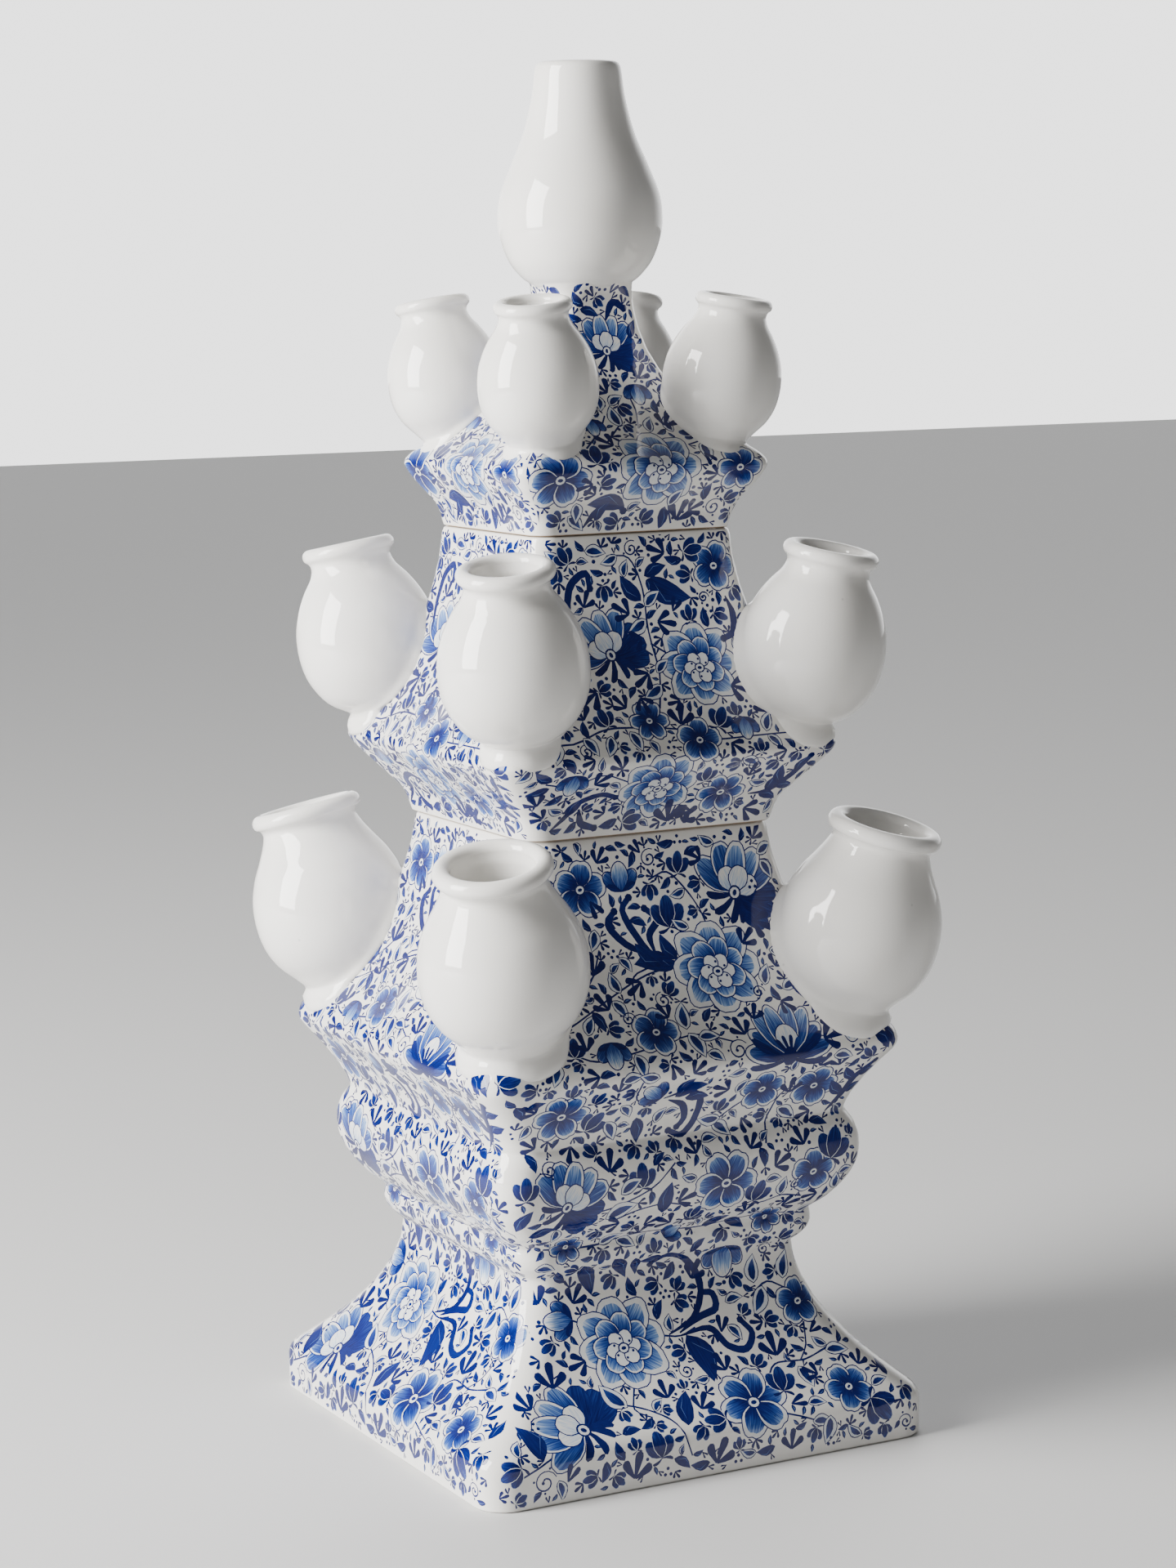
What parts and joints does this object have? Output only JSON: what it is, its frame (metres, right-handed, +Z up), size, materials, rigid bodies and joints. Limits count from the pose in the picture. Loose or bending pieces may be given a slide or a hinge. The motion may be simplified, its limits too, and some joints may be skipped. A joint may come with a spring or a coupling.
{
  "type": "tiered flower vase",
  "caption": "Square stacked flower vase of blue-painted white earthenware, with bulb spouts on the corners of its lift-off tiers and a bulb vase on top.",
  "frame": {"origin": "centre of the square foot, on the surface it stands on", "axes": "+Z up through the top vase; -Y is one painted face and -X the next"},
  "size_m": [0.1842, 0.1842, 0.451],
  "materials": {
    "painted_glaze": "clear gloss glaze over blue printed flowers",
    "white_glaze": "clear gloss glaze, plain white"
  },
  "bodies": {
    "lower": {"lower_tier": "painted_glaze", "lower_spout_front": "white_glaze", "lower_spout_right": "white_glaze", "lower_spout_back": "white_glaze", "lower_spout_left": "white_glaze"},
    "middle": {"middle_tier": "painted_glaze", "middle_spout_front": "white_glaze", "middle_spout_right": "white_glaze", "middle_spout_back": "white_glaze", "middle_spout_left": "white_glaze"},
    "upper": {"upper_tier": "painted_glaze", "upper_spout_front": "white_glaze", "upper_spout_right": "white_glaze", "upper_spout_back": "white_glaze", "upper_spout_left": "white_glaze", "top_vase": "white_glaze"}
  },
  "joints": [
    {"name": "middle_lift", "type": "slide", "parent": "lower", "child": "middle", "axis": [0, 0, 1], "range_m": [0, 0.06]},
    {"name": "upper_lift", "type": "slide", "parent": "middle", "child": "upper", "axis": [0, 0, 1], "range_m": [0, 0.05]}
  ]
}
